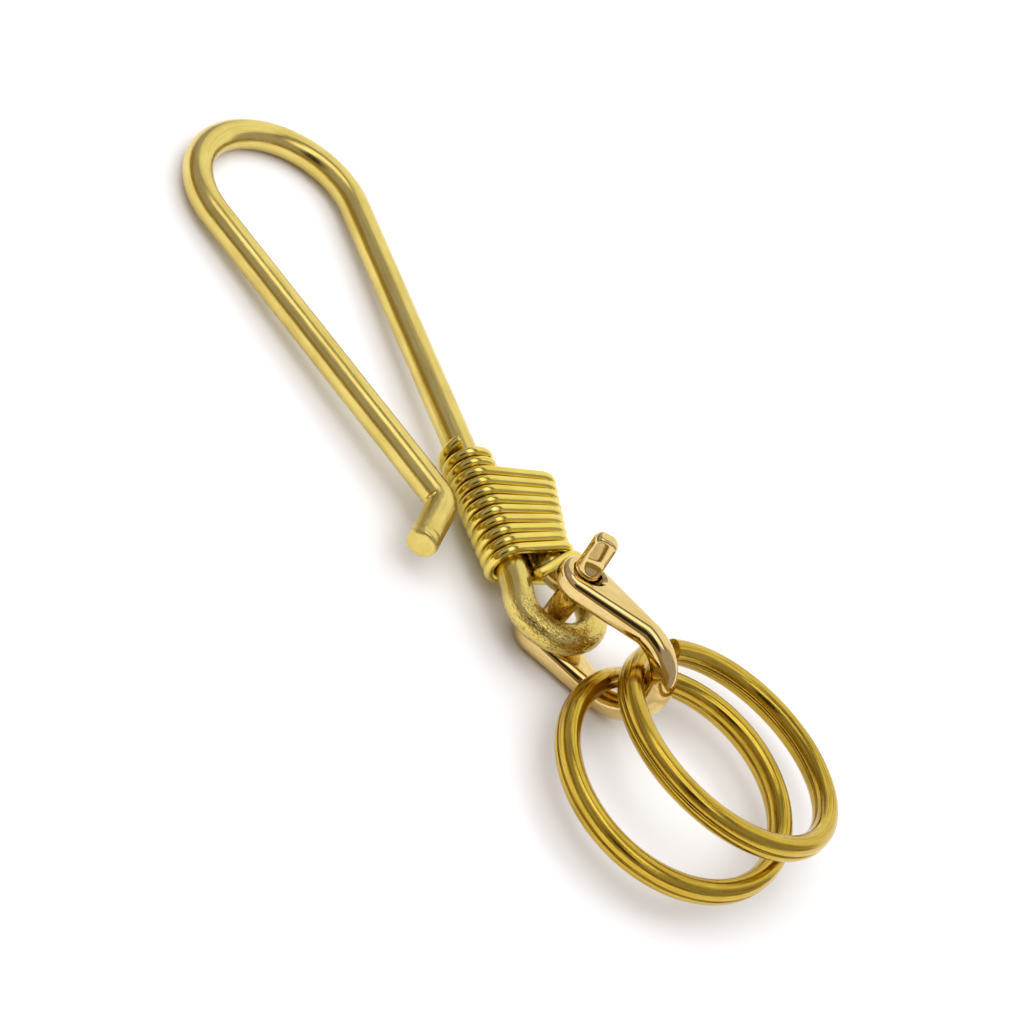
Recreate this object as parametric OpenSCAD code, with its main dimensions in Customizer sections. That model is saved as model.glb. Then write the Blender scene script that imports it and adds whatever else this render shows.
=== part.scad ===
// Brass key clip: a bent-wire hook with a bound eye, a screw-pin shackle and two split rings.
// Millimetres. The origin is the middle of the hook's round bend, on the wire's centre line.
// +X runs along the hook towards the rings, +Z is up from the surface that the clip lies on.

/* [Hook wire] */
// Diameter of the hook's wire
wire_d = 4; // [3.6:0.1:4]
// Radius of the hook's round bend, to the wire's centre line
bend_r = 11.66; // [11:0.1:12.5]
// Angle of each leg to the hook's centre line, in degrees
leg_angle = 9.82; // [9.4:0.1:10]
// Length of the main leg, from the bend to the eye's neck
main_leg = 57.2; // [56.5:0.1:58]
// Length of the open leg, from the bend to the tip
open_leg = 47.2; // [44:0.2:47.6]
// Length of the straight tip beyond its bend
tip_len = 7.2; // [5:0.1:8]
// Angle by which the tip turns outwards, in degrees
tip_turn = 62; // [50:1:70]
// Radius of the tip's bend, to the wire's centre line
tip_r = 2.8; // [2.3:0.1:3]
// Radius of the eye, to the wire's centre line
eye_r = 5.15; // [5:0.05:5.4]
// Angle that the eye turns through, in degrees
eye_turn = 241; // [239:1:243]
// Lift of the eye end from the surface, as the tilt of the hook's plane in degrees
hook_tilt = 2.8; // [0:0.1:2.8]

/* [Binding] */
// Diameter of the binding wire
bind_d = 1.38; // [1.2:0.02:1.38]
// Distance from one turn of the binding to the next, on the main leg
bind_pitch = 1.5; // [1.5:0.02:1.54]
// Turns round the main leg alone
narrow_turns = 2.3; // [0.3:1:2.3]
// Turns round the main leg and the tail together
wide_turns = 9.56; // [5.56:1:9.56]

/* [Shackle] */
// Diameter of the shackle's round crown
crown_d = 3.36; // [3:0.02:3.4]
// Radius of the crown, to its centre line
crown_r = 5.74; // [5.7:0.02:5.9]
// Distance from the pin's axis to the start of the crown
arm_len = 9.94; // [9.5:0.05:10.5]
// Radius of the ears in plan
ear_r = 3.4; // [3.1:0.1:3.6]
// Thickness of the ears
ear_t = 3.1; // [2.8:0.1:3.1]
// Clear width between the ears
ear_gap = 6.74; // [6.7:0.02:7]

/* [Pin] */
// Diameter of the pin
pin_d = 3.3; // [3:0.1:3.4]
// Diameter of the clearance hole in the upper ear
clear_hole_d = 4.2; // [3.8:0.1:4.4]
// Thickness of the flattened thumb tab
tab_t = 1.9; // [1.6:0.1:2.4]
// Height of the thumb tab above the ear
tab_h = 5.9; // [5:0.1:6.5]

/* [Split rings] */
// Radius of each ring, to the middle of its strip
ring_r = 15.04; // [15:0.02:15.1]
// Width of the strip, inside edge to outside edge
strip_w = 2.8; // [2.4:0.1:2.8]
// Height of one coil of the strip
strip_h = 1.74; // [1.5:0.02:1.76]
// Half the angle over which the strip steps from the lower coil to the upper one
step_half = 14; // [12:1:14]

/* [Hidden] */
$fn = 64;

// A place on the hook's centre line is [x, y, heading], drawn flat in the XY plane.
function ahead(s, d) = [s[0] + d * cos(s[2]), s[1] + d * sin(s[2]), s[2]];
function round_bend(s, r, turn) =
    let (k = sign(turn))
    [s[0] - k * r * sin(s[2]) + k * r * sin(s[2] + turn),
     s[1] + k * r * cos(s[2]) - k * r * cos(s[2] + turn),
     s[2] + turn];
function smooth(t) = let (c = min(max(t, 0), 1)) c * c * (3 - 2 * c);

// Each straight length is a hair thinner than the bends, and reaches a little way into them.
// A short straight length, the seam, also joins one bend to the next.
seat = 0.02;
reach = 0.15;
seam = 0.1;

// The main leg, the neck, the eye and the tail that comes back beside the leg
neck_r = 26;
neck_turn = -14.9;
tail_turn = -59.2;
tail_r = 5.5;
tail_len = 9.9;
main_0 = [bend_r * sin(leg_angle), bend_r * cos(leg_angle), -leg_angle];
main_1 = ahead(main_0, main_leg);
neck_1 = round_bend(main_1, neck_r, neck_turn);
eye_0 = ahead(neck_1, seam);
eye_1 = round_bend(eye_0, eye_r, eye_turn);
back_0 = ahead(eye_1, seam);
tail_0 = round_bend(back_0, tail_r, tail_turn);
tail_1 = ahead(tail_0, tail_len);

// The open leg and its outward tip
open_0 = [bend_r * sin(leg_angle), -bend_r * cos(leg_angle), leg_angle];
open_1 = ahead(open_0, open_leg);
tip_0 = round_bend(open_1, tip_r, -tip_turn);
tip_rim = 0.5;

// The binding's turns are square to the line midway between the main leg and the tail.
// A place by that line is [along, aside, up], with aside positive towards the tail.
bind_gap = 0.06;
bind_steps = 28;
bind_sides = 8;
bind_start = 0.1;
bind_widen = 0.24;
bind_lead = 0.1;
bind_slip = 0.11;
bind_run = [2.2, 1.55, 2.3];
bind_r = wire_d / 2 + bind_gap + bind_d / 2;
bind_yaw = (tail_1[2] - 180 - leg_angle) / 2;
lean = tan(-leg_angle - bind_yaw);
neck_at = beside(main_1);
tail_at = beside(tail_0);
bind_first = beside(tail_1)[0] - bind_lead - narrow_turns * bind_pitch;
bind_turns = narrow_turns + wide_turns;

// Where the pin's axis stands, and how the shackle is turned round it
pin_at = [67.85, 4.18, 4.16];
shackle_turn = [-6.6, -4, 21.2];
ear_mid = ear_gap / 2 + ear_t / 2;
ear_edge = 0.8;
thread_gap = 0.05;
arm_seat = 0.04;
hull_fn = 32;

// The pin reaches the lower ear's outer face; its tab faces along tab_yaw.
pin_low = ear_mid + ear_t / 2 - 0.2;
tab_top = ear_mid + ear_t / 2 + tab_h;
tab_bevel = 0.6;
tab_yaw = -62;
scoop_r = 2;
tab_root = tab_top - 3.1;

// Ring centres and tilts; each ring's strip steps up where it passes through the shackle.
ring_lower_at = [92.8, 8.21, 2.65];
ring_lower_step = 179;
ring_upper_at = [91.4, 16.15, 5.69];
ring_upper_tilt = [-10.9, -4.9, 0];
ring_upper_step = 186;
end_gap = 1;
coil_gap = 0.02;
edge_cut = 0.15;
straight = strip_h - strip_w / 2;
step_count = 14;
step_sides = 16;
step_reach = 0.8;
step_fit = 0.98;

module on_hook_plane() {
    rotate([0, -hook_tilt, 0]) children();
}

// reach_out is how far the rod goes past its far end.
module rod_from(s, len, reach_out = reach) {
    translate([s[0], s[1], 0]) rotate([0, 0, s[2]]) rotate([0, 90, 0])
        translate([0, 0, -reach]) cylinder(h = len + reach + reach_out, d = wire_d - 2 * seat);
}

module bend_from(s, r, turn) {
    k = sign(turn);
    translate([s[0] - k * r * sin(s[2]), s[1] + k * r * cos(s[2]), 0])
        rotate([0, 0, turn > 0 ? s[2] - 90 : s[2] + 90 + turn])
        rotate_extrude(angle = abs(turn)) translate([r, 0]) circle(d = wire_d);
}

// The tip's cut face has a bevelled rim.
module tip_from(s, len) {
    rod_from(s, len - tip_rim, 0);
    translate([s[0], s[1], 0]) rotate([0, 0, s[2]]) rotate([0, 90, 0])
        translate([0, 0, len - tip_rim])
        cylinder(h = tip_rim, d1 = wire_d - 2 * seat, d2 = wire_d - 2 * tip_rim);
}

module hook_wire() {
    color("#d9c04f") on_hook_plane() {
        rotate([0, 0, 90 - leg_angle])
            rotate_extrude(angle = 180 + 2 * leg_angle) translate([bend_r, 0]) circle(d = wire_d);
        rod_from(main_0, main_leg);
        bend_from(main_1, neck_r, neck_turn);
        rod_from(neck_1, seam);
        bend_from(eye_0, eye_r, eye_turn);
        rod_from(eye_1, seam);
        bend_from(back_0, tail_r, tail_turn);
        rod_from(tail_0, tail_len, 0);
        rod_from(open_0, open_leg);
        bend_from(open_1, tip_r, -tip_turn);
        tip_from(tip_0, tip_len);
    }
}

// A place on the hook's plane in the binding's terms, and how far aside the leg and the tail are
function beside(s) =
    [(s[0] - main_0[0]) * cos(bind_yaw) + (s[1] - main_0[1]) * sin(bind_yaw),
     (s[1] - main_0[1]) * cos(bind_yaw) - (s[0] - main_0[0]) * sin(bind_yaw)];
function leg_aside(along) =
    along * lean - pow(max(along - neck_at[0], 0), 2) / (2 * neck_r);
function tail_aside(along) =
    tail_at[1] - (along - tail_at[0]) * lean
    + pow(max(along - tail_at[0], 0), 2) / tail_r;

// The binding's outline, two half rounds joined by two straights of length w, t from 0 to 1
// once round from the top of the leg: over the leg's open side, beneath, and up by the tail.
function outline(t, w) =
    let (half = PI * bind_r, u = t * 2 * (half + w))
    u < half ? let (a = u / half * 180) [-bind_r * sin(a), bind_r * cos(a)]
    : u < half + w ? [u - half, -bind_r]
    : u < 2 * half + w ? let (a = (u - half - w) / half * 180) [w + bind_r * sin(a), -bind_r * cos(a)]
    : [w - (u - 2 * half - w), bind_r];
function wound(turns) =
    let (along = bind_first + turns * bind_pitch,
         slip = bind_slip * max(turns - narrow_turns, 0),
         apart = tail_aside(along - slip) - leg_aside(along),
         w = apart * smooth((turns - narrow_turns) / bind_widen),
         p = outline(turns - floor(turns), w))
    [along - slip * p[0] / apart, leg_aside(along) + p[0], p[1]];

// The last turn leaves the tail's top and slants down to end against the leg.
function bind_point(turns) =
    let (last = wound(bind_turns), foot = last[0] + bind_run[0],
         end = [foot, leg_aside(foot) + bind_run[1], bind_run[2]],
         p = turns <= bind_turns ? wound(turns) : last + (end - last) * (turns - bind_turns) * 5)
    [main_0[0] + p[0] * cos(bind_yaw) - p[1] * sin(bind_yaw),
     main_0[1] + p[0] * sin(bind_yaw) + p[1] * cos(bind_yaw),
     p[2]];
function unit(v) = v / norm(v);

// A tube through rings of points: count steps of sides points each, with flat ends.
module tube(points, count, sides) {
    walls = [for (i = [0:count - 1], j = [0:sides - 1])
        let (a = i * sides + j, b = i * sides + (j + 1) % sides)
        [a + sides, b + sides, b, a]];
    near = [for (j = [0:sides - 1]) j];
    far = [for (j = [0:sides - 1]) (count + 1) * sides - 1 - j];
    polyhedron(points = points, faces = concat(walls, [near, far]), convexity = 10);
}

module binding_wire() {
    count = round((bind_turns + 0.2 - bind_start) * bind_steps);
    line = [cos(bind_yaw), sin(bind_yaw), 0];
    points = [for (i = [0:count])
        let (turns = bind_start + i / bind_steps, near = min(turns, bind_turns + 0.18),
             way = unit(bind_point(near + 0.02) - bind_point(near - 0.02)),
             side = unit(line - way * (line * way)), out = cross(way, side))
        for (j = [0:bind_sides - 1])
            bind_point(turns)
            + bind_d / 2 * (side * cos(360 * j / bind_sides) + out * sin(360 * j / bind_sides))];
    color("#e3c233") on_hook_plane() tube(points, count, bind_sides);
}

module on_shackle() {
    translate(pin_at) rotate(shackle_turn) children();
}

// One arm, k = 1 above and k = -1 below: a flat round ear that narrows to the round crown
// and ends a little way inside it.
module arm(k) {
    hull() {
        translate([0, 0, k * ear_mid - ear_t / 2 + ear_edge])
            cylinder(h = ear_t - 2 * ear_edge, r = ear_r, $fn = hull_fn);
        translate([0, 0, k * ear_mid - ear_t / 2])
            cylinder(h = ear_t, r = ear_r - ear_edge, $fn = hull_fn);
        translate([arm_len - reach, 0, k * crown_r]) rotate([0, 90, 0])
            cylinder(h = 2 * reach, d = crown_d - 2 * arm_seat, $fn = hull_fn);
    }
}

module shackle() {
    color("#e0b978") on_shackle() difference() {
        union() {
            arm(1);
            arm(-1);
            translate([arm_len, 0, 0]) rotate([90, 0, 0]) rotate([0, 0, -90])
                rotate_extrude(angle = 180) translate([crown_r, 0]) circle(d = crown_d);
        }
        translate([0, 0, ear_gap / 2 - 1]) cylinder(h = ear_t + 2, d = clear_hole_d);
        translate([0, 0, -ear_gap / 2 - ear_t - 1])
            cylinder(h = ear_t + 2, d = pin_d + 2 * thread_gap);
    }
}

// A round pin whose top is flattened to a thumb tab, with a hollow curve at the tab's root.
module shackle_pin() {
    color("#dcb26c") on_shackle() rotate([0, 0, tab_yaw]) difference() {
        union() {
            translate([0, 0, -pin_low]) cylinder(h = pin_low + tab_top - tab_bevel, d = pin_d);
            translate([0, 0, tab_top - tab_bevel])
                cylinder(h = tab_bevel, d1 = pin_d, d2 = pin_d - 2 * tab_bevel);
        }
        for (k = [-1, 1]) {
            translate([k * (tab_t / 2 + pin_d / 2), 0, (tab_root + tab_top) / 2 + 0.5])
                cube([pin_d, 2 * pin_d, tab_top - tab_root + 1], center = true);
            translate([k * (tab_t / 2 + scoop_r), 0, tab_root])
                rotate([90, 0, 0]) cylinder(h = 2 * pin_d, r = scoop_r, center = true);
        }
    }
}

// Half-round strip outline for one coil, k = 1 the upper coil and k = -1 the lower one.
module strip_outline(k) {
    translate([ring_r, 0]) mirror([0, k < 0 ? 1 : 0]) {
        intersection() {
            translate([0, straight]) circle(d = strip_w);
            translate([-strip_w, straight]) square([2 * strip_w, strip_w]);
        }
        polygon([[-strip_w / 2 + edge_cut, coil_gap], [strip_w / 2 - edge_cut, coil_gap],
                 [strip_w / 2, coil_gap + edge_cut], [strip_w / 2, straight],
                 [-strip_w / 2, straight], [-strip_w / 2, coil_gap + edge_cut]]);
    }
}

// One coil, from one angle to the other
module coil(k, from, to) {
    rotate([0, 0, from]) rotate_extrude(angle = to - from) strip_outline(k);
}

// The strip where it steps up: flat on top below, flat underneath above, and between the two
// on the way. It reaches a little way into the coil at each end, and is a hair smaller.
function step_point(a, t) =
    let (round_y = straight + strip_w / 2 * abs(sin(a)), flat_y = coil_gap,
         up_y = sin(a) >= 0 ? round_y : flat_y, low_y = sin(a) > 0 ? -flat_y : -round_y,
         mid_y = (2 * t - 1) * strip_h / 2, y = up_y * t + low_y * (1 - t))
    [step_fit * strip_w / 2 * cos(a), mid_y + step_fit * (y - mid_y)];
module coil_step(at) {
    points = [for (i = [0:step_count])
        let (phi = (step_half + step_reach) * (2 * i / step_count - 1),
             t = smooth((phi + step_half) / (2 * step_half)))
        for (j = [0:step_sides - 1])
            let (p = step_point(-360 * j / step_sides, t))
            [(ring_r + p[0]) * cos(at + phi), (ring_r + p[0]) * sin(at + phi), p[1]]];
    tube(points, step_count, step_sides);
}

// Two turns of strip, one on the other, that rise counter-clockwise at the step.
module split_ring(at) {
    coil(-1, at + step_half + end_gap, at + 360 - step_half);
    coil(1, at + step_half, at + 360 - step_half - end_gap);
    coil_step(at);
}

module split_ring_lower() {
    color("#c9a52c") translate(ring_lower_at) split_ring(ring_lower_step);
}

module split_ring_upper() {
    color("#bf9a24") translate(ring_upper_at) rotate(ring_upper_tilt) split_ring(ring_upper_step);
}

hook_wire();
binding_wire();
shackle();
shackle_pin();
split_ring_lower();
split_ring_upper();
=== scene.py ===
"""A brass key clip: bent-wire hook, wound binding, screw-pin shackle and two split rings.

Lengths are in millimetres until a mesh is made. The origin is the middle of the hook's round bend.
"""

import math

import bmesh
import bpy
import numpy as np
from mathutils import Matrix, Vector, noise


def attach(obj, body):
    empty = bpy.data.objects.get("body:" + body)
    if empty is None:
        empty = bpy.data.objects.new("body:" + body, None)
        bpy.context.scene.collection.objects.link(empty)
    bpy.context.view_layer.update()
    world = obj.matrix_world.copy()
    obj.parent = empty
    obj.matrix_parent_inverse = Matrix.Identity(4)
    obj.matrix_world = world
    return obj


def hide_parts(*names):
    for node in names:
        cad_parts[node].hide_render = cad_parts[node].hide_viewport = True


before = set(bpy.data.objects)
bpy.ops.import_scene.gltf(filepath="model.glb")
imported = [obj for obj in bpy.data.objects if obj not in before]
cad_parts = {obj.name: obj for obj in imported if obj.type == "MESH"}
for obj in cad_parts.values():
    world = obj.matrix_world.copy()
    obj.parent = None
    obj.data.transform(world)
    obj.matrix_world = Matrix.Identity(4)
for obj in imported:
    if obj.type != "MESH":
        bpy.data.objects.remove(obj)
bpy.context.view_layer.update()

MM = 0.001
FLOOR_Z = -2.57


# ---------------------------------------------------------------- shapes in the hook's plane
WIRE_R = 2.0
BEND_R = 11.66
LEG_ANGLE = 9.82
MAIN_LEG = 57.2
OPEN_LEG = 47.2
TIP_LEN = 7.2
TIP_TURN = 62.0
TIP_R = 2.8
NECK = (26.0, -14.9)
EYE = (5.15, 241.0)
TAIL = (5.5, -59.2)
TAIL_LEN = 9.9
SEAM = 0.1
HOOK_TILT = math.radians(2.8)


def straight(place, length, step=0.5):
    """Stations [x, y, heading in degrees] along a straight, without the first one."""
    x, y, h = place
    a = math.radians(h)
    n = max(1, int(math.ceil(length / step)))
    return [(x + math.cos(a) * length * k / n, y + math.sin(a) * length * k / n, h) for k in range(1, n + 1)]


def bend(place, radius, turn, step=0.4):
    """Stations round a bend, to the left for a positive turn, without the first one."""
    x, y, h = place
    k = math.copysign(1, turn)
    n = max(6, int(math.ceil(abs(math.radians(turn)) * (radius + WIRE_R) / step)))
    cx, cy = x - k * radius * math.sin(math.radians(h)), y + k * radius * math.cos(math.radians(h))
    out = []
    for i in range(1, n + 1):
        g = h + turn * i / n
        out.append((cx + k * radius * math.sin(math.radians(g)), cy - k * radius * math.cos(math.radians(g)), g))
    return out


def from_plane(points):
    """Points [along, aside, up] in the hook's plane, as points in the row's frame."""
    p = np.asarray(points, float)
    c, s = math.cos(HOOK_TILT), math.sin(HOOK_TILT)
    return np.stack([p[..., 0] * c - p[..., 2] * s, p[..., 1], p[..., 0] * s + p[..., 2] * c], axis=-1)


def unit(v):
    return v / np.linalg.norm(v, axis=-1, keepdims=True)


# ---------------------------------------------------------------- mesh making
def wobble(x, y, z):
    """Fixed noise between about -1 and 1."""
    return noise.noise(Vector((float(x), float(y), float(z))))


def make_mesh(name, verts, faces, strand=None, sharp=38.0, wear=None):
    """A smooth-shaded object; strand and wear are what the brass material reads at each vertex."""
    mesh = bpy.data.meshes.new(name)
    mesh.from_pydata([tuple(v) for v in np.asarray(verts) * MM], [], [tuple(f) for f in faces])
    mesh.validate()
    if strand is not None:
        layer = mesh.attributes.new("strand", "FLOAT_VECTOR", "POINT")
        layer.data.foreach_set("vector", np.asarray(strand, np.float32).ravel())
    if wear is not None:
        layer = mesh.attributes.new("wear", "FLOAT", "POINT")
        layer.data.foreach_set("value", np.asarray(wear, np.float32))
    mesh.update()
    mesh.shade_smooth()
    mesh.set_sharp_from_angle(angle=math.radians(sharp))
    obj = bpy.data.objects.new(name, mesh)
    bpy.context.scene.collection.objects.link(obj)
    return obj


def sweep(centres, side, up, sections, along, cap_rings=4):
    """Skin through one closed section per station, closed by discs at both ends.

    sections[i][j] is (across, up) in millimetres. Returns verts, faces and strand coordinates."""
    n, m = sections.shape[0], sections.shape[1]
    rings = centres[:, None, :] + sections[..., :1] * side[:, None, :] + sections[..., 1:] * up[:, None, :]
    verts = [rings.reshape(-1, 3)]
    strand = [np.concatenate([np.repeat(along, m)[:, None], sections.reshape(-1, 2)], axis=1)]
    faces = []
    for i in range(n - 1):
        a, b = i * m, (i + 1) * m
        for j in range(m):
            k = (j + 1) % m
            faces.append((a + j, a + k, b + k, b + j))
    count = n * m
    for end, i in ((0, 0), (1, n - 1)):
        mid = sections[i].mean(axis=0)
        last = list(range(i * m, i * m + m))
        for r in range(1, cap_rings + 1):
            f = 1 - r / cap_rings
            flat = mid + (sections[i] - mid) * f if r < cap_rings else mid[None, :]
            verts.append(centres[i] + flat[:, :1] * side[i] + flat[:, 1:] * up[i])
            strand.append(np.concatenate([np.full((len(flat), 1), along[i]), flat], axis=1))
            if r < cap_rings:
                ring = list(range(count, count + m))
                for j in range(m):
                    k = (j + 1) % m
                    quad = (last[j], last[k], ring[k], ring[j])
                    faces.append(quad[::-1] if end == 0 else quad)
                last = ring
                count += m
            else:
                for j in range(m):
                    k = (j + 1) % m
                    tri = (last[j], last[k], count)
                    faces.append(tri[::-1] if end == 0 else tri)
                count += 1
    return np.concatenate(verts), faces, np.concatenate(strand)


def end_rounding(distance, rim):
    """Shrink, in mm, of a section that lies this far inside a cut end with a rounded rim."""
    t = np.clip(1 - distance / rim, 0, 1)
    return rim * (1 - np.sqrt(np.clip(1 - t * t, 0, 1)))


def with_rims(along, rim, steps=6):
    """Stations along a piece, with extra ones near both ends for the rounded rims."""
    lo, hi = along[0], along[-1]
    extra = rim * (1 - np.cos(np.linspace(0, math.pi / 2, steps)))
    inner = along[(along > lo + rim) & (along < hi - rim)]
    return np.concatenate([lo + extra, inner, hi - extra[::-1]])


# ---------------------------------------------------------------- hook wire
def hook_stations():
    """Stations along the whole wire from the tip to the tail's end, and its named places."""
    a = math.radians(LEG_ANGLE)
    main_0 = (BEND_R * math.sin(a), BEND_R * math.cos(a), -LEG_ANGLE)
    open_0 = (BEND_R * math.sin(a), -BEND_R * math.cos(a), LEG_ANGLE)
    way = [main_0]
    way += straight(way[-1], MAIN_LEG)
    marks = {"main_0": main_0, "main_1": way[-1]}
    way += bend(way[-1], *NECK)
    way += straight(way[-1], SEAM)
    way += bend(way[-1], *EYE, step=0.3)
    way += straight(way[-1], SEAM)
    way += bend(way[-1], *TAIL, step=0.3)
    marks["tail_0"] = way[-1]
    way += straight(way[-1], TAIL_LEN)
    marks["tail_1"] = way[-1]
    back = [open_0]
    back += straight(back[-1], OPEN_LEG)
    marks["open_1"] = back[-1]
    back += bend(back[-1], TIP_R, -TIP_TURN, step=0.16)
    marks["tip_0"] = back[-1]
    back += straight(back[-1], TIP_LEN, step=0.2)
    first = [(x, y, h + 180) for x, y, h in reversed(back)]
    turn = bend(first[-1], BEND_R, -(180 + 2 * LEG_ANGLE))
    return first + turn + way[1:], marks


STATIONS, MARKS = hook_stations()

# Round the wire, angles run from its outer side; along it, S is measured from the tip's cut face
TIP_INSIDE = math.pi
TIP_RIM = 0.55
TIP_GROOVE_S = 1.35
MARK_ANGLE = 2.75
MARK_S = 9.2
# Where the eye is worn, from the end of the main leg
EYE_WEAR_MID = 15.5
EYE_WEAR_HALF = 7.0


def hook_wire():
    """The bent wire, with the tip's dent and tool mark, and its wear at the tip and in the eye."""
    st = np.array(STATIONS)
    gap = np.linalg.norm(np.diff(st[:, :2], axis=0), axis=1)
    run = np.concatenate([[0], np.cumsum(gap)])
    head = np.radians(np.unwrap(st[:, 2], period=360))
    along = np.unique(np.concatenate([with_rims(run, TIP_RIM), np.arange(0.5, 13.5, 0.12)]))
    x, y, h = (np.interp(along, run, c) for c in (st[:, 0], st[:, 1], head))
    sides = 56
    ang = np.arange(sides) / sides * 2 * math.pi
    total = run[-1]
    rim = end_rounding(along, TIP_RIM) + end_rounding(total - along, 0.3)
    tip_mid = TIP_LEN + math.radians(TIP_TURN) * TIP_R / 2
    sections = np.zeros((len(along), sides, 2))
    for i, s in enumerate(along):
        for j, a in enumerate(ang):
            r = WIRE_R - rim[i]
            r -= 0.012 * (0.5 + wobble(s * 0.21, math.cos(a) * 0.7, math.sin(a) * 0.7))
            r -= 0.006 * (0.5 + wobble(s * 1.3, math.cos(a) * 2.2, math.sin(a) * 2.2 + 9))
            if s < 16:
                inside = math.exp(-((math.remainder(a - TIP_INSIDE, 2 * math.pi)) / 0.7) ** 2)
                r -= 0.16 * inside * math.exp(-((s - tip_mid) / 0.5) ** 2)
                mark = math.exp(-((math.remainder(a - MARK_ANGLE, 2 * math.pi)) / 0.38) ** 6)
                r -= 0.24 * mark * math.exp(-((s - MARK_S) / 0.45) ** 6)
                r -= 0.12 * math.exp(-((s - TIP_GROOVE_S) / 0.12) ** 2)
            sections[i, j] = (r * math.cos(a), r * math.sin(a))
    centres = from_plane(np.stack([x, y, np.zeros_like(x)], axis=1))
    side = from_plane(np.stack([np.sin(h), -np.cos(h), np.zeros_like(x)], axis=1))
    up = from_plane(np.tile([0.0, 0.0, 1.0], (len(x), 1)))
    verts, faces, strand = sweep(centres, side, up, sections, along, cap_rings=8)
    leg_end = tip_mid + OPEN_LEG + MAIN_LEG + math.radians(180 + 2 * LEG_ANGLE) * BEND_R
    tip = np.clip((tip_mid + 2.0 - strand[:, 0]) / 2.5, 0, 1)
    eye = np.exp(-((strand[:, 0] - leg_end - EYE_WEAR_MID) / EYE_WEAR_HALF) ** 4)
    return make_mesh("hook_wire_fine", verts, faces, strand, wear=np.maximum(0.5 * tip, eye))


# ---------------------------------------------------------------- binding
BIND_D = 1.38
BIND_PITCH = 1.5
NARROW_TURNS = 2.3
WIDE_TURNS = 9.56
BIND_START = 0.1
BIND_WIDEN = 0.24
BIND_LEAD = 0.1
BIND_SLIP = 0.11
START_LIFT = 0.75
END_TURNS = 0.11
END_RUN = 2.6
END_DROP = 0.2
BIND_R = WIRE_R + 0.06 + BIND_D / 2
BIND_YAW = math.radians((MARKS["tail_1"][2] - 180 - LEG_ANGLE) / 2)
LEAN = math.tan(math.radians(-LEG_ANGLE) - BIND_YAW)


def beside(place):
    """A place in the hook's plane as (along, aside) of the line midway between leg and tail."""
    dx, dy = place[0] - MARKS["main_0"][0], place[1] - MARKS["main_0"][1]
    return (dx * math.cos(BIND_YAW) + dy * math.sin(BIND_YAW), dy * math.cos(BIND_YAW) - dx * math.sin(BIND_YAW))


NECK_AT = beside(MARKS["main_1"])
TAIL_AT = beside(MARKS["tail_0"])
BIND_FIRST = beside(MARKS["tail_1"])[0] - BIND_LEAD - NARROW_TURNS * BIND_PITCH
BIND_TURNS = NARROW_TURNS + WIDE_TURNS


def leg_aside(along):
    """How far aside the leg's centre line is."""
    return along * LEAN - max(along - NECK_AT[0], 0) ** 2 / (2 * NECK[0])


def tail_aside(along):
    """How far aside the tail's centre line is, with room for its bend."""
    return TAIL_AT[1] - (along - TAIL_AT[0]) * LEAN + max(along - TAIL_AT[0], 0) ** 2 / TAIL[0]


def ease(t):
    t = min(max(t, 0.0), 1.0)
    return t * t * (3 - 2 * t)


def outline(t, w):
    """(aside, up) once round two half rounds and two straights of length w, t from 0 to 1."""
    half = math.pi * BIND_R
    u = t * 2 * (half + w)
    if u < half:
        a = u / BIND_R
        return (-BIND_R * math.sin(a), BIND_R * math.cos(a))
    if u < half + w:
        return (u - half, -BIND_R)
    if u < 2 * half + w:
        a = (u - half - w) / BIND_R
        return (w + BIND_R * math.sin(a), -BIND_R * math.cos(a))
    return (w - (u - 2 * half - w), BIND_R)


def wound(turns, onward=0.0):
    """The wound wire's (along, aside, up) after so many turns, moved onward along the leg."""
    along = BIND_FIRST + turns * BIND_PITCH + onward
    slip = BIND_SLIP * max(turns - NARROW_TURNS, 0)
    apart = tail_aside(along - slip) - leg_aside(along)
    w = apart * ease((turns - NARROW_TURNS) / BIND_WIDEN)
    p = outline(turns - math.floor(turns), w)
    return np.array([along - slip * p[0] / apart, leg_aside(along) + p[0], p[1]])


def bind_place(turns):
    """The last piece runs on along the leg as it comes over the tail, and ends against the leg."""
    gone = max(turns - BIND_TURNS + END_TURNS, 0) / (2 * END_TURNS)
    return wound(turns, END_RUN * gone ** 1.5) - np.array([0, 0, END_DROP * gone ** 2])


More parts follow.
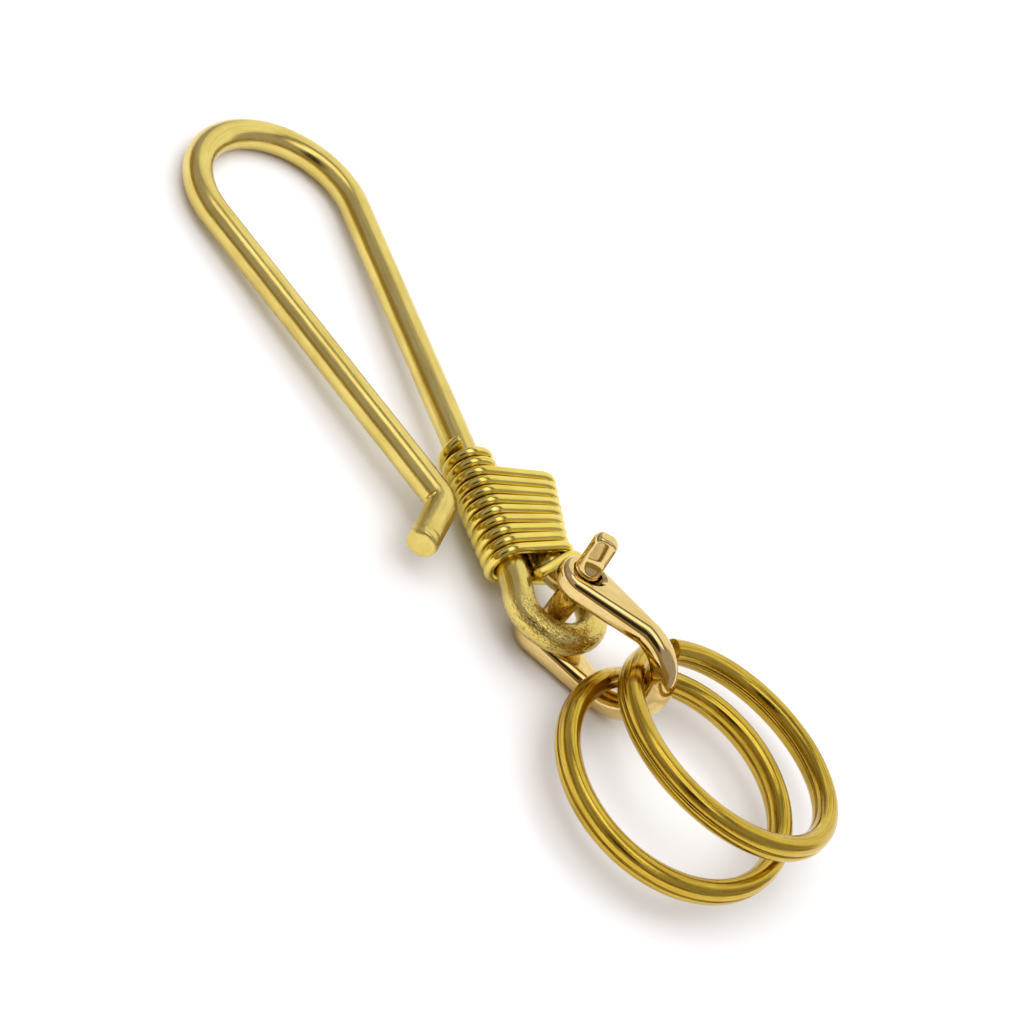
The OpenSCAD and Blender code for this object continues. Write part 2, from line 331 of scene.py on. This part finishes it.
def binding_wire():
    """The wound wire, evened out along its length; its first end is drawn back along the leg."""
    turns = np.arange(BIND_START, BIND_TURNS + END_TURNS, 1 / 240)
    p = np.array([bind_place(t) for t in turns])
    p[:, 0] -= START_LIFT * np.clip(1 - (turns - BIND_START) / 0.24, 0, 1) ** 1.5
    yaw = np.array([[math.cos(BIND_YAW), math.sin(BIND_YAW)], [-math.sin(BIND_YAW), math.cos(BIND_YAW)]])
    flat = p[:, :2] @ yaw + np.array(MARKS["main_0"][:2])
    p = np.concatenate([flat, p[:, 2:]], axis=1)
    run = np.concatenate([[0], np.cumsum(np.linalg.norm(np.diff(p, axis=0), axis=1))])
    keep = np.arange(0, run[-1], 0.12)
    p = np.stack([np.interp(keep, run, p[:, k]) for k in range(3)], axis=1)
    for _ in range(6):
        p[1:-1] = p[1:-1] * 0.5 + (p[:-2] + p[2:]) * 0.25
    run = np.concatenate([[0], np.cumsum(np.linalg.norm(np.diff(p, axis=0), axis=1))])
    along = with_rims(np.arange(0, run[-1], 0.30), 0.2, steps=4)
    p = np.stack([np.interp(along, run, p[:, k]) for k in range(3)], axis=1)
    way = unit(np.gradient(p, axis=0))
    way[0], way[-1] = way[8], way[-9]
    line = np.array([math.cos(BIND_YAW), math.sin(BIND_YAW), 0.0])
    side = unit(line - way * (way @ line)[:, None])
    up = np.cross(way, side)
    sides = 20
    ang = np.arange(sides) / sides * 2 * math.pi
    rim = end_rounding(along, 0.16) + end_rounding(along[-1] - along, 0.16)
    sections = np.zeros((len(along), sides, 2))
    for i, s in enumerate(along):
        r = BIND_D / 2 - rim[i]
        r -= 0.006 * (0.5 + wobble(s * 0.7, 3.1, 0.4))
        sections[i, :, 0] = r * np.cos(ang)
        sections[i, :, 1] = r * np.sin(ang)
    verts, faces, strand = sweep(from_plane(p), from_plane(side), from_plane(up), sections, along, cap_rings=3)
    return make_mesh("binding_wire_fine", verts, faces, strand, sharp=50)


# ---------------------------------------------------------------- shackle and pin
PIN_AT = (67.85, 4.18, 4.16)
SHACKLE_TURN = (-6.6, -4.0, 21.2)
CROWN_D = 3.36
CROWN_R = 5.74
ARM_LEN = 9.94
EAR_R = 3.4
EAR_T = 3.1
EAR_GAP = 6.74
EAR_MID = EAR_GAP / 2 + EAR_T / 2
PIN_R = 1.65
EAR_EDGE = 1.15
CLEAR_R = 2.02
TIGHT_R = 1.72
HOLE_RIM = 0.12
TAB_T = 1.9
TAB_H = 5.9
TAB_FLAT = 3.1
TAB_ROOT_R = 3.0
TAB_EDGE = 0.3
TAB_YAW = -62.0
# Slopes by which the pin leans in its clearance hole, and by which the tab leans further
PIN_LEAN = 0.036
TAB_LEAN = 0.045
LEAN_WAY = (-0.55, -0.75, 0.0)


def turned(angles):
    """Rotation about X, then Y, then Z, by angles in degrees."""
    rx, ry, rz = (math.radians(a) for a in angles)
    return Matrix.Rotation(rz, 3, "Z") @ Matrix.Rotation(ry, 3, "Y") @ Matrix.Rotation(rx, 3, "X")


SHACKLE_AXES = np.array(turned(SHACKLE_TURN))


def on_shackle(points):
    """Points by the pin's axis, as points in the row's frame."""
    return np.asarray(points) @ SHACKLE_AXES.T + np.array(PIN_AT)


def arm_hull(k, edge=EAR_EDGE, around=128, crown_sides=64):
    """One arm's convex skin, open where it meets the crown: verts and faces."""
    bm = bmesh.new()
    for a in np.linspace(0, math.pi / 2, 8):
        r = EAR_R - edge + edge * math.cos(a)
        for sign in (-1, 1):
            z = k * EAR_MID + sign * (EAR_T / 2 - edge + edge * math.sin(a))
            for j in range(around):
                t = j / around * 2 * math.pi
                bm.verts.new((r * math.cos(t), r * math.sin(t), z))
    for j in range(crown_sides):
        t = j / crown_sides * 2 * math.pi
        bm.verts.new((ARM_LEN, CROWN_D / 2 * math.sin(t), k * CROWN_R + CROWN_D / 2 * math.cos(t)))
    out = bmesh.ops.convex_hull(bm, input=bm.verts, use_existing_faces=False)
    loose = [g for g in out["geom_interior"] if isinstance(g, bmesh.types.BMVert)]
    bmesh.ops.delete(bm, geom=loose, context="VERTS")
    caps = [f for f in bm.faces if all(v.co.x > ARM_LEN - 1e-4 for v in f.verts)]
    bmesh.ops.delete(bm, geom=caps, context="FACES_ONLY")
    bmesh.ops.recalc_face_normals(bm, faces=bm.faces)
    bm.verts.index_update()
    verts = [tuple(v.co) for v in bm.verts]
    faces = [tuple(v.index for v in f.verts) for f in bm.faces]
    bm.free()
    return verts, faces


def crown_tube(sides=64, steps=72):
    """The crown's skin, open at both ends: verts and faces."""
    verts, faces = [], []
    for i in range(steps + 1):
        t = math.pi / 2 - math.pi * i / steps
        for j in range(sides):
            a = j / sides * 2 * math.pi
            out = CROWN_R + CROWN_D / 2 * math.cos(a)
            verts.append((ARM_LEN + out * math.cos(t), CROWN_D / 2 * math.sin(a), out * math.sin(t)))
    for i in range(steps):
        for j in range(sides):
            k = (j + 1) % sides
            a, b = i * sides, (i + 1) * sides
            faces.append((a + j, a + k, b + k, b + j))
    return verts, faces


def lathe(profile, sides=96):
    """Closed solid turned round Z from [radius, height] pairs, bottom to top."""
    verts, faces = [(0, 0, profile[0][1])], []
    for r, z in profile:
        for j in range(sides):
            t = j / sides * 2 * math.pi
            verts.append((r * math.cos(t), r * math.sin(t), z))
    verts.append((0, 0, profile[-1][1]))
    n = len(profile)
    for j in range(sides):
        k = (j + 1) % sides
        faces.append((0, 1 + k, 1 + j))
        for i in range(n - 1):
            a, b = 1 + i * sides, 1 + (i + 1) * sides
            faces.append((a + j, a + k, b + k, b + j))
        faces.append((1 + (n - 1) * sides + j, 1 + (n - 1) * sides + k, len(verts) - 1))
    return verts, faces


def plain_object(name, verts, faces):
    """A working object, in millimetres."""
    mesh = bpy.data.meshes.new(name)
    mesh.from_pydata(verts, [], faces)
    obj = bpy.data.objects.new(name, mesh)
    bpy.context.scene.collection.objects.link(obj)
    return obj


def hole_cutter(r, low, high):
    """A cutter from low to high along the pin's axis, with a bevelled rim at both ends."""
    return lathe([(r + 1.0, low - 1.0 + HOLE_RIM), (r, low + HOLE_RIM), (r, high - HOLE_RIM),
                  (r + 1.0, high + 1.0 - HOLE_RIM)])


def shackle():
    """Both arms and the crown joined as one skin, with the two holes cut."""
    verts, faces = [], []
    for part in (arm_hull(1), arm_hull(-1), crown_tube()):
        base = len(verts)
        verts += list(part[0])
        faces += [tuple(i + base for i in f) for f in part[1]]
    body = plain_object("shackle_body", verts, faces)
    bm = bmesh.new()
    bm.from_mesh(body.data)
    bmesh.ops.remove_doubles(bm, verts=bm.verts, dist=0.004)
    bmesh.ops.recalc_face_normals(bm, faces=bm.faces)
    bm.to_mesh(body.data)
    bm.free()
    inner, outer = EAR_GAP / 2, EAR_GAP / 2 + EAR_T
    for cut in (hole_cutter(CLEAR_R, inner, outer), hole_cutter(TIGHT_R, -outer, -inner)):
        cutter = plain_object("cutter", *cut)
        mod = body.modifiers.new("cut", "BOOLEAN")
        mod.operation = "DIFFERENCE"
        mod.solver = "EXACT"
        mod.object = cutter
        graph = bpy.context.evaluated_depsgraph_get()
        new = bpy.data.meshes.new_from_object(body.evaluated_get(graph))
        body.modifiers.clear()
        body.data = new
        bpy.data.objects.remove(cutter)
    local = np.array([v.co for v in body.data.vertices])
    shape = [tuple(p.vertices) for p in body.data.polygons]
    bpy.data.objects.remove(body)
    return make_mesh("shackle_fine", on_shackle(local), shape, strand=local, sharp=32)


def shackle_pin():
    """A round pin whose top is pressed flat to a thumb tab, hollow at the tab's root."""
    ear = EAR_MID + EAR_T / 2
    low, top, rim = -(ear - 0.2), ear + TAB_H, 1.1
    root = top - TAB_FLAT
    heights = np.concatenate([
        low + 0.25 * (1 - np.cos(np.linspace(0, math.pi / 2, 6))),
        np.linspace(low + 0.4, ear - 0.3, 60),
        np.arange(ear - 0.24, top - rim - 0.02, 0.06),
        top - rim + rim * np.sin(np.linspace(0, math.pi / 2, 18)),
    ])
    sides = 168
    ang = np.arange(sides) / sides * 2 * math.pi
    sections = np.zeros((len(heights), sides, 2))
    for i, z in enumerate(heights):
        near_top = end_rounding(np.array([top - z]), rim)[0]
        near_low = end_rounding(np.array([z - low]), 0.25)[0]
        groove = 0.07 * math.exp(-((z - (ear + 0.35)) / 0.10) ** 2)
        for j, a in enumerate(ang):
            r = PIN_R - near_top - near_low - groove
            r -= 0.01 * (0.5 + wobble(z * 0.8, math.cos(a), math.sin(a)))
            px, py = r * math.cos(a), r * math.sin(a)
            down = min(max(root - z, 0.0), TAB_ROOT_R - 0.1)
            wall = TAB_T / 2 - 0.06 + TAB_ROOT_R - math.sqrt(TAB_ROOT_R ** 2 - down * down) + py ** 2 / 12
            wall -= end_rounding(np.array([top - z]), 0.45)[0]
            over = (abs(px) - wall + TAB_EDGE) / TAB_EDGE
            if over > 0:
                px = math.copysign(wall - TAB_EDGE + TAB_EDGE * math.tanh(over), px)
            sections[i, j] = (px, py)
    yaw = np.array(turned((0, 0, TAB_YAW)))
    lean_out = np.clip(heights - ear, 0, None) * TAB_LEAN
    lean_out += np.clip(heights + EAR_GAP / 2, 0, None) * PIN_LEAN
    sway = np.linalg.inv(SHACKLE_AXES) @ np.array(LEAN_WAY)
    centres = on_shackle(np.stack([lean_out * sway[0], lean_out * sway[1], heights], axis=1))
    side = np.tile(SHACKLE_AXES @ yaw @ np.array([1.0, 0, 0]), (len(heights), 1))
    up = np.tile(SHACKLE_AXES @ yaw @ np.array([0, 1.0, 0]), (len(heights), 1))
    verts, faces, strand = sweep(centres, side, up, sections, heights, cap_rings=10)
    radius = np.hypot(strand[:, 1], strand[:, 2])
    lathed = np.stack([(strand[:, 1] + strand[:, 2]) * 0.3, strand[:, 0], radius], axis=1)
    return make_mesh("shackle_pin_fine", verts, faces, lathed, sharp=32)


# ---------------------------------------------------------------- split rings
RING_R = 15.04
STRIP_W = 2.8
STRIP_H = 1.74
STEP_HALF = 14.0
END_GAP = 1.0
LOWER_AT = (92.8, 8.21, 2.65)
LOWER_TILT = (0, 0, 0)
LOWER_STEP = 179.0
UPPER_AT = (91.4, 16.15, 5.69)
UPPER_TILT = (-10.9, -4.9, 0)
UPPER_STEP = 186.0
UPPER_REACH = 5.5


def blended_section(t, count=96):
    """Section at a height t from 0, the lower coil, to 1, the upper one, always in the same order."""
    out = np.zeros((count, 2))
    low_rise, flat, edge = STRIP_H - STRIP_W / 2, 0.02, 0.30
    half = STRIP_W / 2
    for j in range(count):
        a = 2 * math.pi * j / count
        c, s = math.cos(a), math.sin(a)
        cx = half * math.copysign(abs(c) ** 0.8, c)
        inset = max(abs(cx) - (half - edge), 0)
        corner = (edge - math.sqrt(max(edge * edge - inset * inset, 0))) * 1.15
        dome = low_rise + math.sqrt(max(half * half - cx * cx, 0))
        dome -= 0.012 * (1 + math.sin(cx * 8.5 + 1.0)) + 0.006 * (1 + math.sin(cx * 15.0))
        plane = flat + corner
        if s >= 0:
            y = dome * t + (-plane) * (1 - t)
        else:
            y = plane * t + (-dome) * (1 - t)
        out[j] = (cx, y)
    return out


def split_ring(name, centre, tilt, step_at, last_reach=0.0):
    """Two turns of strip that rise from the lower coil to the upper one at step_at degrees."""
    start, stop = step_at + STEP_HALF + END_GAP, step_at + 720 - STEP_HALF - END_GAP + last_reach
    rim = 0.16
    deg_rim = math.degrees(rim / RING_R)
    deg = with_rims(np.arange(start, stop, 1.0), deg_rim, steps=5)
    shrink = end_rounding((deg - start) / deg_rim * rim, rim) + end_rounding((deg[-1] - deg) / deg_rim * rim, rim)
    sections = []
    for i, d in enumerate(deg):
        t = ease((d - (step_at + 360 - STEP_HALF)) / (2 * STEP_HALF))
        sec = blended_section(t)
        mid = sec.mean(axis=0)
        s = (d - start) / 360 * 2 * math.pi * RING_R
        sec = mid + (sec - mid) * (1 - shrink[i] / 0.87)
        sec[:, 0] *= 1 - 0.004 * (1 + wobble(s * 0.3, 0.7, len(name)))
        sections.append(sec)
    sections = np.array(sections)
    rad = np.radians(deg)
    axes = np.array(turned(tilt))
    out = np.stack([np.cos(rad), np.sin(rad), 0 * rad], axis=1)
    centres = (out * RING_R) @ axes.T + np.array(centre)
    side = out @ axes.T
    up = np.tile(axes @ np.array([0, 0, 1.0]), (len(rad), 1))
    along = rad * RING_R
    verts, faces, strand = sweep(centres, side, up, sections, along, cap_rings=4)
    faces = [f[::-1] for f in faces]
    return make_mesh(name, verts, faces, strand, sharp=40)


# ---------------------------------------------------------------- materials
def ramp(nodes, links, value, stops):
    """A colour ramp of (position, colour) stops."""
    node = nodes.new("ShaderNodeValToRGB")
    while len(node.color_ramp.elements) < len(stops):
        node.color_ramp.elements.new(0.5)
    for el, (pos, col) in zip(node.color_ramp.elements, stops):
        el.position = pos
        el.color = (*col, 1)
    links.new(value, node.inputs["Fac"])
    return node.outputs["Color"]


def grey(v):
    return (v, v, v)


def brass(name, bright, deep, rough, streak, nick, cross=0.0, seed=0.0, stain=0.35):
    """Polished brass with drawn streaks along the strand, small nicks, smudges, and painted shade as dark specks in
    the worn places.
    """
    mat = bpy.data.materials.new(name)
    mat.use_nodes = True
    nodes, links = mat.node_tree.nodes, mat.node_tree.links
    nodes.clear()
    out = nodes.new("ShaderNodeOutputMaterial")
    bsdf = nodes.new("ShaderNodeBsdfPrincipled")
    bsdf.inputs["Metallic"].default_value = 1.0
    links.new(bsdf.outputs[0], out.inputs[0])
    strand = nodes.new("ShaderNodeAttribute")
    strand.attribute_name = "strand"

    def mapped(scale, offset=0.0):
        m = nodes.new("ShaderNodeMapping")
        m.inputs["Scale"].default_value = scale
        m.inputs["Location"].default_value = (offset + seed, offset * 0.7, seed * 0.3)
        links.new(strand.outputs["Vector"], m.inputs["Vector"])
        return m.outputs[0]

    def noise_at(vector, scale, detail=4.0, rough_=0.55):
        n = nodes.new("ShaderNodeTexNoise")
        n.inputs["Scale"].default_value = scale
        n.inputs["Detail"].default_value = detail
        n.inputs["Roughness"].default_value = rough_
        links.new(vector, n.inputs["Vector"])
        return n.outputs["Fac"]

    def math_node(op, *values):
        m = nodes.new("ShaderNodeMath")
        m.operation = op
        for i, v in enumerate(values):
            if isinstance(v, (int, float)):
                m.inputs[i].default_value = v
            else:
                links.new(v, m.inputs[i])
        return m.outputs[0]

    lines = noise_at(mapped((0.10, 5.0, 5.0)), 1.0, 5.0, 0.7)
    fine = noise_at(mapped((0.5, 22.0, 22.0), 3.0), 1.0, 3.0, 0.6)
    smudge = noise_at(mapped((0.22, 0.35, 0.35), 7.0), 1.0, 3.0)
    hatch = noise_at(mapped((14.0, 0.6, 0.6), 5.0), 1.0, 3.0)
    pits_tex = nodes.new("ShaderNodeTexVoronoi")
    pits_tex.inputs["Scale"].default_value = 1.0
    links.new(mapped((1.6, 2.6, 2.6), 11.0), pits_tex.inputs["Vector"])
    pits = ramp(nodes, links, pits_tex.outputs["Distance"],
                [(0.0, grey(0.0)), (0.09, grey(0.6)), (0.16, grey(1.0))])

    # Colour: two tints by the smudges, darker drawn lines, and painted shade as dark specks where it is most worn
    tint = nodes.new("ShaderNodeMix")
    tint.data_type = "RGBA"
    links.new(ramp(nodes, links, smudge, [(0.30, grey(0.0)), (0.72, grey(1.0))]), tint.inputs["Factor"])
    tint.inputs["A"].default_value = (*bright, 1)
    tint.inputs["B"].default_value = (*deep, 1)
    worn = nodes.new("ShaderNodeMix")
    worn.data_type = "RGBA"
    worn.blend_type = "MULTIPLY"
    worn.inputs["Factor"].default_value = stain
    links.new(tint.outputs["Result"], worn.inputs["A"])
    stained = ramp(nodes, links, lines, [(0.36, (0.50, 0.44, 0.34)), (0.50, grey(1.0))])
    links.new(stained, worn.inputs["B"])
    wear = nodes.new("ShaderNodeAttribute")
    wear.attribute_name = "wear"
    worn_at = wear.outputs["Fac"]
    # Painted shade: dark brown specks multiplied into the colour of the worn places, standing in for the shade in the
    # rubbed metal's tiny pits
    pit_shade_specks = ramp(nodes, links, noise_at(mapped((3.2, 4.6, 4.6), 31.0), 1.0, 2.0),
                  [(0.40, (0.16, 0.10, 0.05)), (0.50, grey(1.0))])
    pit_shaded = nodes.new("ShaderNodeMix")
    pit_shaded.data_type = "RGBA"
    pit_shaded.blend_type = "MULTIPLY"
    links.new(worn.outputs["Result"], pit_shaded.inputs["A"])
    links.new(pit_shade_specks, pit_shaded.inputs["B"])
    links.new(pit_shaded.outputs["Result"], bsdf.inputs["Base Color"])
    grain = noise_at(mapped((1.5, 2.6, 2.6), 17.0), 1.0, 3.0, 0.6)
    blotch = noise_at(mapped((1.1, 1.6, 1.6), 23.0), 1.0, 3.0)
    blotch = ramp(nodes, links, blotch, [(0.42, grey(0.0)), (0.58, grey(1.0))])
    # The painted pit shade shows only where the wear is above 0.55, in blotches
    pit_shade_at = math_node("MAXIMUM", math_node("SUBTRACT", worn_at, 0.55), 0.0)
    links.new(math_node("MULTIPLY", pit_shade_at, math_node("MULTIPLY", blotch, 1.4)), pit_shaded.inputs["Factor"])

    # Roughness: uneven with the smudges, most in the half-worn places
    spread = math_node("MULTIPLY_ADD", smudge, rough[1] - rough[0], rough[0] - 0.02)
    spread = math_node("ADD", spread, math_node("MULTIPLY", fine, 0.06))
    spread = math_node("ADD", spread, math_node("MULTIPLY", math_node("PINGPONG", worn_at, 0.5), 0.22))
    links.new(spread, bsdf.inputs["Roughness"])

    # Height: drawn lines, pits, cross hatching, soft dents and the rubbed grain
    height = math_node("ADD", math_node("MULTIPLY", lines, 0.5 * streak),
                       math_node("MULTIPLY", fine, 0.22 * streak))
    height = math_node("ADD", height, math_node("MULTIPLY", pits, 0.35 * nick))
    height = math_node("ADD", height, math_node("MULTIPLY", hatch, 0.3 * cross))
    height = math_node("ADD", height, math_node("MULTIPLY", smudge, 0.9 * nick))
    rubbed = math_node("MULTIPLY", worn_at, math_node("MULTIPLY_ADD", blotch, 0.8, 0.35))
    height = math_node("ADD", height, math_node("MULTIPLY", rubbed, math_node("MULTIPLY", grain, 5.0)))
    bump = nodes.new("ShaderNodeBump")
    bump.inputs["Strength"].default_value = 0.5
    bump.inputs["Distance"].default_value = 0.00004
    links.new(height, bump.inputs["Height"])
    links.new(bump.outputs[0], bsdf.inputs["Normal"])
    return mat


HOOK = brass("hook_brass_fine", (0.82, 0.66, 0.20), (0.70, 0.54, 0.14),
             rough=(0.12, 0.24), streak=1.0, nick=0.6)
BIND = brass("binding_brass_fine", (0.88, 0.72, 0.18), (0.78, 0.60, 0.11),
             rough=(0.08, 0.18), streak=0.9, nick=0.35, seed=4)
SHACK = brass("shackle_brass_fine", (0.83, 0.63, 0.27), (0.76, 0.55, 0.20),
              rough=(0.04, 0.10), streak=0.1, nick=0.35, seed=9)
RING = brass("ring_brass_fine", (0.66, 0.46, 0.06), (0.54, 0.36, 0.04),
             rough=(0.05, 0.12), streak=1.4, nick=0.5, cross=0.6, seed=14, stain=1.0)


# ---------------------------------------------------------------- pieces on the frame
def add(piece, body, node, material):
    """Give a piece its finish, and let it ride on its body in its CAD node's place."""
    piece.data.materials.clear()
    piece.data.materials.append(material)
    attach(piece, body)
    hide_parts(node)


add(hook_wire(), "hook", "hook_wire", HOOK)
add(binding_wire(), "hook", "binding_wire", BIND)
add(shackle(), "shackle", "shackle", SHACK)
add(shackle_pin(), "pin", "shackle_pin", SHACK)
add(split_ring("split_ring_lower_fine", LOWER_AT, LOWER_TILT, LOWER_STEP),
    "ring_lower", "split_ring_lower", RING)
add(split_ring("split_ring_upper_fine", UPPER_AT, UPPER_TILT, UPPER_STEP, UPPER_REACH),
    "ring_upper", "split_ring_upper", RING)


# ---------------------------------------------------------------- floor, light and camera
def floor():
    half, n = 1600.0, 8
    places = [-half + 2 * half * i / n for i in range(n + 1)]
    verts = [(x, y, FLOOR_Z) for y in places for x in places]
    faces = [(j * (n + 1) + i, j * (n + 1) + i + 1, (j + 1) * (n + 1) + i + 1, (j + 1) * (n + 1) + i)
             for j in range(n) for i in range(n)]
    obj = make_mesh("floor", np.array(verts), faces)
    mat = bpy.data.materials.new("floor_paper")
    mat.use_nodes = True
    bsdf = mat.node_tree.nodes["Principled BSDF"]
    bsdf.inputs["Base Color"].default_value = (0.9, 0.9, 0.9, 1)
    bsdf.inputs["Roughness"].default_value = 0.85
    bsdf.inputs["Specular IOR Level"].default_value = 0.1
    obj.data.materials.append(mat)


floor()

world = bpy.data.worlds.new("studio")
bpy.context.scene.world = world
world.use_nodes = True
wn, wl = world.node_tree.nodes, world.node_tree.links
wn.clear()
w_out = wn.new("ShaderNodeOutputWorld")
w_back = wn.new("ShaderNodeBackground")
w_coord = wn.new("ShaderNodeTexCoord")
w_split = wn.new("ShaderNodeSeparateXYZ")
wl.new(w_coord.outputs["Generated"], w_split.inputs[0])


def w_step(value, low, high):
    """0 below low and 1 above high, with a smooth change between; falls instead if high < low."""
    node = wn.new("ShaderNodeMapRange")
    node.interpolation_type = "SMOOTHSTEP"
    wl.new(value, node.inputs["Value"])
    rising = low < high
    for key, v in (("From Min", min(low, high)), ("From Max", max(low, high)),
                   ("To Min", 0.0 if rising else 1.0), ("To Max", 1.0 if rising else 0.0)):
        node.inputs[key].default_value = v
    return node.outputs["Result"]


def w_times(*values):
    total = values[0]
    for v in values[1:]:
        node = wn.new("ShaderNodeMath")
        node.operation = "MULTIPLY"
        wl.new(total, node.inputs[0])
        wl.new(v, node.inputs[1])
        total = node.outputs[0]
    return total


def w_dot(direction):
    node = wn.new("ShaderNodeVectorMath")
    node.operation = "DOT_PRODUCT"
    wl.new(w_coord.outputs["Generated"], node.inputs[0])
    node.inputs[1].default_value = direction
    return node.outputs["Value"]


def w_mix(base, colour, mask):
    """The base, with a colour over it where the mask is 1."""
    node = wn.new("ShaderNodeMix")
    node.data_type = "RGBA"
    wl.new(mask, node.inputs["Factor"])
    if isinstance(base, tuple):
        node.inputs["A"].default_value = (*base, 1)
    else:
        wl.new(base, node.inputs["A"])
    node.inputs["B"].default_value = (*colour, 1)
    return node.outputs["Result"]


dx, dy, dz = (w_split.outputs[k] for k in ("X", "Y", "Z"))
# A grey room, a warm dark band low in front, a white wall behind, a strip light overhead and a dark camera
sky = w_mix((0.42, 0.40, 0.50), (0.30, 0.22, 0.08), w_times(w_step(dz, 0.42, 0.30), w_step(dy, 0.2, -0.1)))
sky = w_mix(sky, (1.05, 1.05, 1.0), w_times(w_step(dy, 0.10, 0.30), w_step(dx, 0.45, 0.25), w_step(dx, -0.90, -0.70)))
sky = w_mix(sky, (0.22, 0.21, 0.24), w_times(w_step(dz, 0.80, 0.86), w_step(dy, 0.08, 0.14), w_step(dy, 0.32, 0.26)))
sky = w_mix(sky, (1.6, 1.55, 1.5), w_times(w_step(dz, 0.82, 0.86), w_step(dy, -0.42, -0.34), w_step(dy, 0.02, -0.04)))
sky = w_mix(sky, (0.03, 0.025, 0.018), w_step(w_dot((0.369, -0.672, 0.642)), 0.935, 0.975))
wl.new(sky, w_back.inputs["Color"])
w_back.inputs["Strength"].default_value = 1.0
wl.new(w_back.outputs[0], w_out.inputs[0])

# A wide soft light from above that lights the paper and doesn't show in the metal
lamp_data = bpy.data.lights.new("overhead", "AREA")
lamp_data.shape = "DISK"
lamp_data.size = 1.6
lamp_data.energy = 7.5
lamp = bpy.data.objects.new("overhead", lamp_data)
bpy.context.scene.collection.objects.link(lamp)
lamp.location = (0.05, 0.0, 0.75)
lamp.visible_glossy = False

# The camera's axes and place
RIGHT = Vector((0.45525808, 0.73332183, 0.50495462))
LIFT = Vector((-0.81022087, 0.10606455, 0.57644813))
BACK = Vector((0.36916422, -0.67155744, 0.6424394))
CAMERA_AT = Vector((190.18, -243.54, 241.80))
cam_data = bpy.data.cameras.new("photo_view")
cam_data.lens = 105.47
cam_data.sensor_width = 36.0
cam_data.clip_start = 0.01
cam = bpy.data.objects.new("photo_view", cam_data)
bpy.context.scene.collection.objects.link(cam)
cam.matrix_world = Matrix.Translation(CAMERA_AT * MM) @ Matrix((RIGHT, LIFT, BACK)).transposed().to_4x4()
bpy.context.scene.camera = cam
bpy.context.scene.view_settings.view_transform = "Standard"
